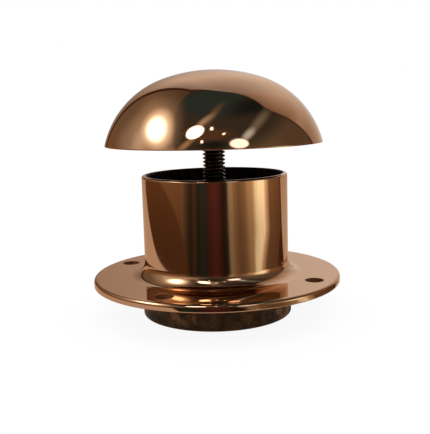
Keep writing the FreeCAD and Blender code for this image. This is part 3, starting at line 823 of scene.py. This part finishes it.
def bridge_screws(metal):
    """Two slotted cheese-head screws from below, with their plain shanks."""
    low, high, _ = heights("bridge_screws")
    head_top = heights("bridge_washers")[0]
    shank = softened(
        [(0.0, head_top, 0), (SCREW_R, head_top, 0), (SCREW_R, high, 0.4), (0.0, high, 0)]
    )
    patches = []
    for side in (SCREW_AT, -SCREW_AT):
        patches.append(patch(slotted_head(side, low, head_top), loop=False))
        patches.append(patch(lathe(shank, 48) + (side, 0, 0), loop=False))
    piece("bridge_screw_pair", CASTING, "fastener_brass", [metal], patches, "bridge_screws")


def bridge_washers(metal):
    """A washer under each screw's head."""
    low, high, _ = heights("bridge_washers")
    flat = lathe(square_cut(SCREW_R + 0.25, SCREW_HEAD_R + 0.4, low, high, 0.15), 72)
    patches = [patch(flat + (side, 0, 0)) for side in (SCREW_AT, -SCREW_AT)]
    piece("bridge_washer_pair", CASTING, "fastener_brass", [metal], patches, "bridge_washers")


def screen_rims(metal):
    """The screen's outer frame and the ring round the hub, each with a slot for the mesh."""
    slot_low, slot_high, _ = heights("insect_screen")
    slot_low, slot_high = slot_low - 0.1, slot_high + 0.1
    for name, node, face, back, deep in (
        ("screen_rim", "screen_frame", 34.5, 37.7, 2.2),
        ("screen_hub_rim", "screen_hub_ring", 13.6, 9.6, -2.2),
    ):
        low, high, _ = heights(node)
        corners = [
            (back, low, 0.4),
            (back, high, 0.4),
            (face, high, 0.4),
            (face, slot_high, 0.1),
            (face + deep, slot_high, 0.0),
            (face + deep, slot_low, 0.0),
            (face, slot_low, 0.1),
            (face, low, 0.4),
        ]
        if deep < 0:
            corners.reverse()
        piece(name, CASTING, "screen_brass", [metal], [patch(lathe(softened(corners), 240))], node)


def tube(line, radius, sides=6):
    """A round wire along a line of points: a circle in the plane square to the wire at each one."""
    run = np.gradient(line, axis=0)
    run /= np.linalg.norm(run, axis=-1, keepdims=True)
    flat = np.cross(run, (0.0, 0.0, 1.0))
    flat /= np.linalg.norm(flat, axis=-1, keepdims=True)
    steep = np.cross(flat, run)
    angle = np.arange(sides) * 2 * math.pi / sides
    skin = line[:, None] + radius * (
        np.cos(angle)[:, None] * flat[:, None] + np.sin(angle)[:, None] * steep[:, None]
    )
    ends = np.broadcast_to(line[:, None], skin.shape)
    return np.concatenate((ends[:1], skin, ends[-1:]))[:, ::-1]


def insect_screen(metal):
    """Plain-woven brass wire: each wire goes over and under the ones it crosses, as a sine wave."""
    low, high, outer = heights("insect_screen")
    middle, wave = (low + high) / 2, (high - low) / 2 - WIRE_R
    patches = []
    for number in range(-19, 20):
        off = (number + 0.5) * MESH_PITCH
        if abs(off) > outer - 1.5:
            continue
        end = math.sqrt((outer - 0.2) ** 2 - off**2)
        start = math.sqrt(max(MESH_IN**2 - off**2, 0))
        for side in (1, -1) if start else (0,):
            first, last = (start, end) if side else (-end, end)
            along = np.linspace(first, last, max(8, round((last - first) / MESH_PITCH * 6)))
            along = along if side >= 0 else -along
            phase = math.pi * (along / MESH_PITCH - 0.5) + math.pi * number
            over = wave * np.cos(phase)
            warp = np.stack((along, 0 * along + off, middle + over), axis=-1)
            weft = np.stack((0 * along + off, along, middle - over), axis=-1)
            patches += [patch(tube(line, WIRE_R), loop=False) for line in (warp, weft)]
    piece("woven_screen", CASTING, "screen_brass", [metal], patches, "insect_screen")


def snap_ring(metal):
    """A spring ring with a gap at the back: its section carried round, closed at both ends."""
    low, high, outer = heights("screen_snap_ring")
    section = square_cut(SPRING_IN, outer, low, high, 0.2)
    open_angle = math.asin(SPRING_HALF_GAP / outer)
    angle = math.pi / 2 + np.linspace(open_angle, 2 * math.pi - open_angle, 240)[:, None]
    body = around(section[:, 0], angle, section[:, 1])
    ends = [np.broadcast_to(end.mean(axis=0), end.shape)[None] for end in (body[0], body[-1])]
    grid = patch(np.concatenate((ends[0], body, ends[1]))[:, ::-1], loop=False)
    piece("screen_spring_ring", CASTING, "spring_steel", [metal], [grid], "screen_snap_ring")


# ------------ stage

# The camera's place in metres, how far it looks down and how far it leans.
CAMERA_AT = (-0.00023, -0.39406, 0.09852)
CAMERA_DOWN, CAMERA_LEAN = math.radians(9.05), math.radians(-1.471)
FLOOR_HALF = 6000.0
# The bench's near edge: three lines, each by its distance and the azimuth it is nearest at.
BENCH_LINES = [(120.0, 0.0), (168.0, -59.0), (95.0, 70.0)]
BENCH_START, BENCH_END, BENCH_FARTHEST, BENCH_BACK = -134, 121, 2900.0, 8500.0


def camera():
    """A short telephoto lens at the cap's height, tipped down and leaning slightly to one side."""
    lens = bpy.data.cameras.new("camera")
    lens.sensor_width = 36.0
    lens.lens = 58.03
    lens.clip_start = 0.01
    view = linked("camera", lens)
    tip = Matrix.Rotation(math.pi / 2 - CAMERA_DOWN, 4, "X")
    lean = Matrix.Rotation(CAMERA_LEAN, 4, "Z")
    view.matrix_world = Matrix.Translation(CAMERA_AT) @ tip @ lean
    bpy.context.scene.camera = view


def stage_mesh(name, points, material):
    """A stage surface from a grid of points in millimetres."""
    rows, columns = points.shape[:2]
    number = np.arange(rows * columns).reshape(rows, columns)
    faces = np.stack((number[:-1, :-1], number[:-1, 1:], number[1:, 1:], number[1:, :-1]), axis=-1)
    mesh = bpy.data.meshes.new(name)
    mesh.from_pydata((points.reshape(-1, 3) * MM).tolist(), [], faces.reshape(-1, 4).tolist())
    mesh.materials.append(material)
    thing = linked(name, mesh)
    return thing


def pale_floor():
    """A matt grey with a glow of its own: near white to the eye, warmer and dimmer in reflections."""
    material, make = blank_material("pale_floor")
    tone = make.noise(make.place(), 3.0, 2.0)
    base = make.mix(tone, (0.105, 0.105, 0.105), (0.115, 0.115, 0.115))
    rays = make.node("LightPath")
    far = make.vector_maths("LENGTH", make.place())["Value"]
    mirrored = make.scaled((1.12, 0.94, 0.80), make.spread(far, 0.1, 1.6, 0.46, 0.30))
    glow = make.mix(rays.outputs["Is Camera Ray"], mirrored, (0.91, 0.91, 0.91))
    shader = make.node("BsdfDiffuse", Color=base)
    light = make.node("Emission", Color=glow)
    both = make.node("AddShader")
    make.feed(both.inputs[0], shader.outputs[0])
    make.feed(both.inputs[1], light.outputs[0])
    make.node("OutputMaterial", Surface=both.outputs[0])
    return material


def floor():
    """A wide flat floor under the spigot."""
    low = heights("vent_body")[0]
    across = np.linspace(-FLOOR_HALF, FLOOR_HALF, 3)
    x, y = np.meshgrid(across, across)
    stage_mesh("floor", np.stack((x, y, np.full_like(x, low)), axis=-1), pale_floor())


# Stripes of a dim workshop that the bronze mirrors, by azimuth: 0 is in front, 90 on the right.
BENCH_STRIPES = [
    (-135, (0.23, 0.14, 0.07)),
    (-50, (0.20, 0.12, 0.062)),
    (-43, (0.085, 0.07, 0.045)),
    (-38, (0.042, 0.034, 0.018)),
    (-35, (0.045, 0.036, 0.022)),
    (-31, (0.075, 0.054, 0.042)),
    (-28, (0.06, 0.038, 0.026)),
    (-25, (0.024, 0.029, 0.02)),
    (-19, (0.03, 0.044, 0.038)),
    (-14, (0.036, 0.034, 0.03)),
    (-8, (0.08, 0.026, 0.024)),
    (-1, (0.105, 0.036, 0.034)),
    (6, (0.078, 0.026, 0.024)),
    (11, (0.03, 0.018, 0.016)),
    (16, (0.035, 0.03, 0.024)),
    (22, (0.44, 0.40, 0.28)),
    (29, (0.30, 0.20, 0.11)),
    (35, (0.215, 0.16, 0.10)),
    (39, (0.24, 0.17, 0.09)),
    (56, (0.60, 0.47, 0.30)),
    (66, (1.35, 1.5, 1.2)),
    (76, (1.6, 1.7, 1.4)),
    (84, (0.75, 0.6, 0.42)),
    (90, (0.25, 0.155, 0.085)),
    (115, (0.20, 0.12, 0.065)),
    (119, (0.10, 0.05, 0.03)),
]


def bench_glow():
    """The workshop's stripes laid out on the bench, leaning near its right, with a shadow on its left."""
    material, make = blank_material("bench_glow")
    x, y, _ = make.parts(make.place())
    turn = azimuth_of(make, x, y)
    far = make.length(x, y)
    lean = make.times(make.spread(far, 0.12, 0.34, 0.3, 0.0), make.spread(turn, 0.85, 1.2))
    slanting = make.plus(turn, make.times(make.minus(far, 0.36), 1.57))
    shadow = make.spread(slanting, math.radians(-56), math.radians(-52), 1.0, 0.0)
    colour = make.mix(shadow, stripes(make, make.plus(turn, lean)), (0.13, 0.067, 0.031))
    colour = twice(make, colour, (1.0, 1.35, 1.7))
    marks = make.noise(make.vector(turn, 0.0, 0.0), 26.0, 3.0, 0.7)
    marks = make.spread(marks, 0.3, 0.7, 0.82, 1.18)
    strength = make.times(make.spread(far, 0.1, 0.8, 0.6, 1.1), marks)
    glow = make.node("Emission", Color=colour, Strength=strength)
    make.node("OutputMaterial", Surface=glow.outputs[0])
    return material


def bench():
    """A dark bench just over the near side of the floor, seen only in reflections.

    Its near edge is the nearest of three straight lines, each at a distance divided by the cosine
    of the angle from its own direction.
    """
    low = heights("vent_body")[0]
    azimuth = np.radians(np.linspace(BENCH_START, BENCH_END, 256))
    edge = np.full_like(azimuth, BENCH_FARTHEST)
    for distance, nearest in BENCH_LINES:
        slant = np.cos(azimuth - math.radians(nearest))
        edge = np.where(slant > 0.07, np.minimum(edge, distance / np.maximum(slant, 0.07)), edge)
    share = np.linspace(0, 1, 16)[:, None]
    reach = edge * (1 - share) + BENCH_BACK * share**2
    points = np.stack((reach * np.sin(azimuth), -reach * np.cos(azimuth), 0 * reach + low + 0.3), axis=-1)
    thing = stage_mesh("bench", points[::-1], bench_glow())
    for ray in ("camera", "diffuse", "shadow", "transmission", "volume_scatter"):
        setattr(thing, "visible_" + ray, False)


def azimuth_of(make, x, y):
    """A direction's azimuth in radians, from straight in front round to the right."""
    return make.maths("ARCTAN2", x, make.times(y, -1.0))


def stripes(make, turn):
    """The workshop's stripes at an azimuth in radians, from behind on the left round to the right."""
    made = make.node("ValToRGB", Fac=make.spread(turn, -math.pi, math.pi, smooth=False))
    ramp = made.color_ramp
    ramp.interpolation = "EASE"
    while len(ramp.elements) > 1:
        ramp.elements.remove(ramp.elements[-1])
    for number, (azimuth, colour) in enumerate(BENCH_STRIPES):
        place = (azimuth + 180) / 360
        stop = ramp.elements[0] if number == 0 else ramp.elements.new(place)
        stop.position = place
        stop.color = (*colour, 1.0)
    return made.outputs[0]


# What the room shows above the horizon, as soft ovals on the sky: middle (azimuth, elevation) in
# degrees, a second point that the long axis aims at, half length, half width, edge, colour.
ROOM = [
    ((75, 12), (110, 10), 52, 18, 0.6, (0.17, 0.15, 0.11)),
    ((98, 20), (98, 60), 16, 24, 0.6, (0.125, 0.10, 0.075)),
    ((92, 62), (60, 66), 22, 9, 0.7, (0.012, 0.018, 0.02)),
    ((0, 42), (40, 41), 16, 6, 0.6, (0.11, 0.07, 0.048)),
    ((0, 30), (30, 28), 12, 4.5, 0.6, (0.015, 0.018, 0.018)),
    ((-104, 47), (-135, 42), 26, 6, 0.8, (0.25, 0.20, 0.155)),
    ((-96, 20), (-96, 40), 17, 22, 0.6, (0.36, 0.33, 0.29)),
    ((-62, 15), (-30, 13), 34, 8, 0.6, (0.55, 0.50, 0.40)),
    ((-81, 40), (-57, 26), 25, 16, 0.85, (0.64, 0.56, 0.43)),
    ((-86, 27), (-86, 10), 11, 9, 0.8, (0.75, 0.72, 0.66)),
    ((-75, 40), (-54, 25), 18, 11.5, 0.6, (2.0, 2.1, 2.0)),
    ((-76, 39.5), (-55, 25), 13, 8.5, 0.4, (5.0, 5.0, 5.0)),
    ((63, 47), (38, 36), 20, 3.2, 0.9, (0.20, 0.22, 0.20)),
    ((42, 38.5), (30, 31), 8, 3.0, 0.8, (0.65, 0.85, 1.0)),
    ((0, 68), (-12, 48), 14, 2.6, 0.95, (0.16, 0.14, 0.11)),
    ((-16, 58), (-23, 49), 10, 2.6, 0.9, (0.52, 0.46, 0.36)),
    ((-31, 29), (-44, 11), 9, 2.8, 0.8, (0.46, 0.36, 0.25)),
    ((-23.5, 45), (-37.5, 25), 8.8, 6.5, 0.1, (6.0, 6.0, 6.0)),
    ((28, 30), (2, 29), 8.8, 5.4, 0.15, (2.6, 2.75, 3.1)),
    ((-2, 50), (-1, 27), 1.9, 1.2, 0.3, (5.0, 5.0, 5.0)),
    ((13, 43), (-10, 29), 1.6, 0.9, 0.4, (4.0, 4.0, 4.0)),
    ((-13, 34), (-10, 11), 1.6, 1.1, 0.3, (5.0, 5.0, 5.0)),
]


def towards(azimuth, elevation):
    """The direction at an azimuth from straight in front, and an elevation, in degrees."""
    a, e = math.radians(azimuth), math.radians(elevation)
    return np.array((math.sin(a) * math.cos(e), -math.cos(a) * math.cos(e), math.sin(e)))


def oval(make, sky, middle, aim, length, width, edge):
    """How far inside an oval on the sky a direction lies: 1 inside, 0 outside, soft over its edge."""
    middle, aim = towards(*middle), towards(*aim)
    side = np.cross(middle, aim)
    side /= np.linalg.norm(side)
    along = np.cross(side, middle)
    shares = [
        make.vector_maths("DOT_PRODUCT", sky, axis / math.sin(math.radians(half)))["Value"]
        for axis, half in ((along, length), (side, width))
    ]
    ahead = make.maths("GREATER_THAN", make.vector_maths("DOT_PRODUCT", sky, middle)["Value"], 0.0)
    return make.times(make.spread(make.length(*shares), 1.0 - edge, 1.0 + edge, 1.0, 0.0), ahead)


def twice(make, colour, tint):
    """A light's colour, multiplied by a paler tint where it is seen by way of two polished faces."""
    depth = make.node("LightPath").outputs["Glossy Depth"]
    tinted = make.vector_maths("MULTIPLY", colour, tint)[0]
    return make.mix(make.maths("GREATER_THAN", depth, 1.5), colour, tinted)


def studio():
    """Plain white light, and for reflections a dim room with lamps and a tall white backdrop."""
    world = bpy.data.worlds.new("studio")
    world.use_nodes = True
    bpy.context.scene.world = world
    make = Maker(world.node_tree)
    sky = make.node("TexCoord").outputs["Generated"]
    x, y, z = make.parts(sky)
    turn = azimuth_of(make, x, y)
    elevation = make.maths("DEGREES", make.maths("ARCSINE", z))
    colour = make.mix(make.spread(elevation, 58.0, 74.0), (0.05, 0.05, 0.043), (0.03, 0.055, 0.062))
    wall = make.mix(make.spread(elevation, 35.0, 65.0), (0.19, 0.155, 0.12), (0.11, 0.085, 0.06))
    past_corner = make.vector_maths("DOT_PRODUCT", sky, towards(57, 22))["Value"]
    colour = make.mix(make.spread(past_corner, 0.0, 0.05), wall, colour)
    for middle, aim, length, width, edge, light in ROOM:
        colour = make.mix(oval(make, sky, middle, aim, length, width, edge), colour, light)
    colour = make.mix(make.spread(elevation, 3.0, 17.0), stripes(make, turn), colour)
    colour = backdrop(make, make.maths("DEGREES", turn), elevation, colour)
    colour = twice(make, colour, (0.95, 1.08, 1.16))
    rays = make.node("LightPath")
    colour = make.mix(rays.outputs["Is Glossy Ray"], (1.0, 1.0, 1.0), colour)
    light = make.node("Background", Color=colour)
    make.node("OutputWorld", Surface=light.outputs[0])


def backdrop(make, azimuth, elevation, colour):
    """A tall white sweep behind and to the right, with a dark red hem.

    It lies between a left edge, a right edge that leans, and a top edge that sags to both sides.
    Each edge gives how many degrees a direction is inside it, and the least of them counts.
    """
    across = make.maths("WRAP", azimuth, 330.0, -30.0)
    left = make.minus(207.0, across)
    right = make.minus(across, make.spread(elevation, 0.0, 48.0, 131.0, 101.0, smooth=False))
    sag = make.times(make.maths("POWER", make.minus(across, 165.0), 2.0), 0.0049)
    top = make.minus(make.minus(74.0, elevation), sag)
    inside = make.maths("MINIMUM", make.maths("MINIMUM", left, right), top)
    hem = make.spread(make.plus(inside, make.spread(across, 190.0, 205.0, 2.0, 5.5)), -0.6, 0.6)
    at_side = make.maths("ABSOLUTE", make.minus(across, 160.0))
    hem = make.times(hem, make.spread(at_side, 32.0, 50.0))
    colour = make.mix(hem, colour, (0.065, 0.024, 0.013))
    white = sweep_white(make, across, elevation)
    white = make.mix(sweep_light(make, left, right, elevation), (0.13, 0.09, 0.03), white)
    return make.mix(make.spread(inside, -0.8, 0.8), colour, white)


def sweep_white(make, across, elevation):
    """The sweep's own white: brightest low in its middle, warm at its right and low on its left."""
    from_left = make.spread(across, 196.0, 163.0, 0.42, 0.88)
    from_right = make.spread(across, 125.0, 173.0, 0.46, 0.98, smooth=False)
    low = make.times(from_left, from_right)
    high = make.spread(across, 208.0, 130.0, 0.78, 0.60)
    share = make.spread(elevation, 15.0, 45.0)
    bright = make.plus(low, make.times(share, make.minus(high, low)))
    bright = make.times(bright, make.spread(elevation, 14.0, 27.0, 1.0, 1.2))
    foot = make.spread(elevation, 10.0, 24.0, 1.0, 0.0)
    warm_left = make.times(make.spread(across, 174.0, 190.0), foot)
    warm = make.maths("MAXIMUM", warm_left, make.spread(across, 126.0, 152.0, 1.0, 0.0))
    return make.scaled(make.mix(warm, (0.97, 1.05, 1.2), (1.0, 0.88, 0.83)), bright)


def sweep_light(make, left, right, elevation):
    """How much of its white the sweep keeps: less at its left, high on its right and near its top."""
    dim = make.spread(right, 2.0, 34.0, 0.7, 0.0, smooth=False)
    kept = make.minus(1.0, make.times(dim, make.spread(elevation, 20.0, 36.0)))
    kept = make.times(kept, make.spread(left, 1.0, 17.0, 0.5, 1.0, smooth=False))
    return make.times(kept, make.spread(elevation, 36.0, 68.0, 1.0, 0.38, smooth=False))


# ------------ making

bpy.context.scene.view_settings.view_transform = "Standard"
polished = polished_bronze()
raw = raw_casting()
drilled = drilled_bronze()
rubber = moulded_rubber()
threaded = threaded_bronze(SPINDLE_R)
brass = turned_metal("turned_brass", (0.30, 0.20, 0.09), (0.62, 0.45, 0.22), 0.24)
knob_metal = turned_metal("satin_bronze", (0.36, 0.21, 0.11), (0.62, 0.38, 0.21), 0.20)
wire = turned_metal("drawn_brass", (0.34, 0.24, 0.11), (0.60, 0.45, 0.22), 0.28)
steel = turned_metal("drawn_steel", (0.22, 0.21, 0.20), (0.55, 0.55, 0.55), 0.26)

casting(polished, raw, drilled)
cap(polished, raw)
gasket(rubber)
spindle(threaded)
ring("lock_washer", TURNING, "fastener_brass", brass, "cap_lock_washer", SPINDLE_HOLE)
nut("lock_nut", "cap_lock_nut", brass, SPINDLE_HOLE, 19.0)
ring("rise_stop_washer", TURNING, "fastener_brass", brass, "stop_washer", STUB_HOLE)
knob(knob_metal)
ring("knob_face_washer", TURNING, "fastener_brass", brass, "knob_washer", STUB_HOLE, 0.15)
nut("knob_end_nut", "knob_nut", brass, STUB_HOLE, 13.0)
bridge(raw)
bridge_screws(brass)
bridge_washers(brass)
screen_rims(wire)
insect_screen(wire)
snap_ring(steel)
grub_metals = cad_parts["knob_grub_screw"].data.materials
grub_metals.clear()
grub_metals.append(steel)
studio()
floor()
bench()
camera()
